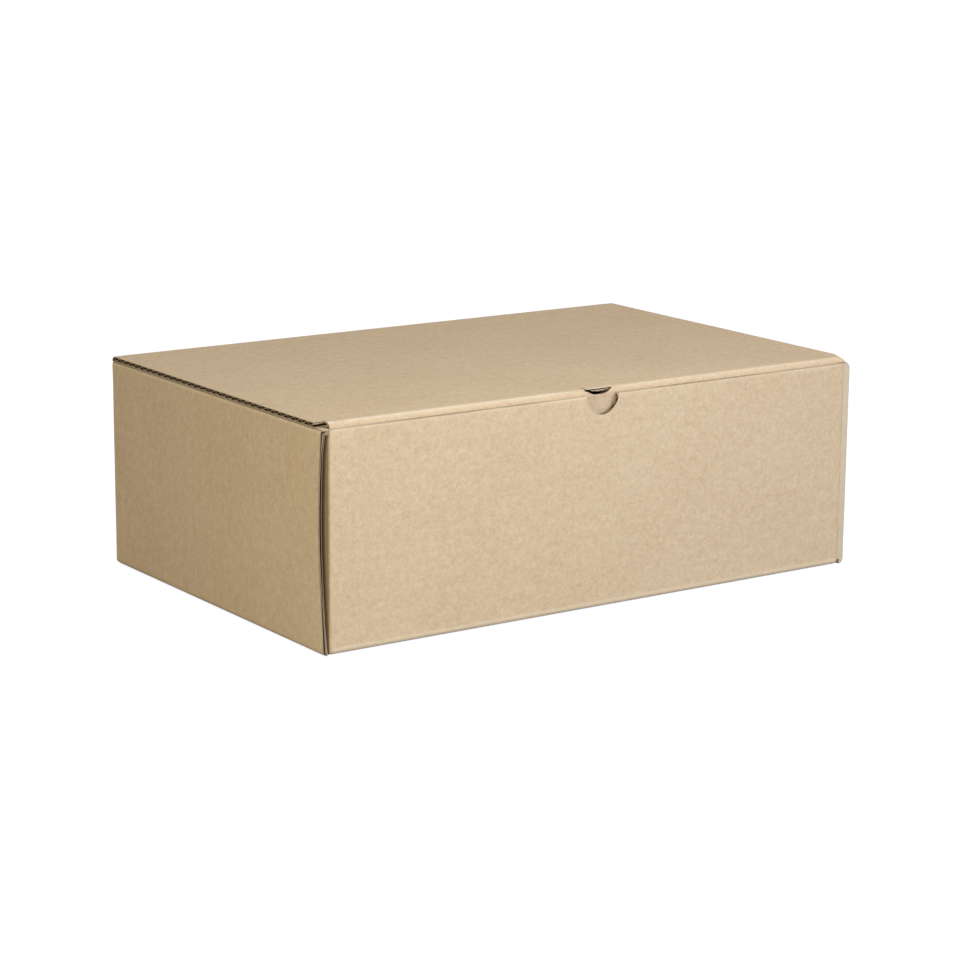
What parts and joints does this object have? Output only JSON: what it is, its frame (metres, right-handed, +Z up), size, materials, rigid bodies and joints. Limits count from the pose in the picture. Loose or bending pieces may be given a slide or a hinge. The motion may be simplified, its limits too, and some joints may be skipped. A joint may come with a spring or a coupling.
{
  "type": "hinged lid mailing box",
  "caption": "Rectangular corrugated board mailing box with rolled double side walls, a lid hinged on the back panel, a front tuck flap and a thumb notch.",
  "frame": {"origin": "middle of the bottom panel's outer face", "axes": "+X along the length, from the left side wall to the right, +Y from the front panel with the thumb notch to the back panel with the lid's hinge, +Z up"},
  "size_m": [0.332, 0.215, 0.114],
  "materials": {
    "kraft_board": "unprinted brown kraft paper, matt, with fine specks and faint flute lines"
  },
  "bodies": {
    "tray": {"tray": "kraft_board"},
    "lid": {"lid": "kraft_board"}
  },
  "joints": [
    {"name": "lid_hinge", "type": "hinge", "parent": "tray", "child": "lid", "pos_m": [0, 0.1075, 0.114], "axis": [-1, 0, 0], "range_deg": [0, 180]}
  ]
}
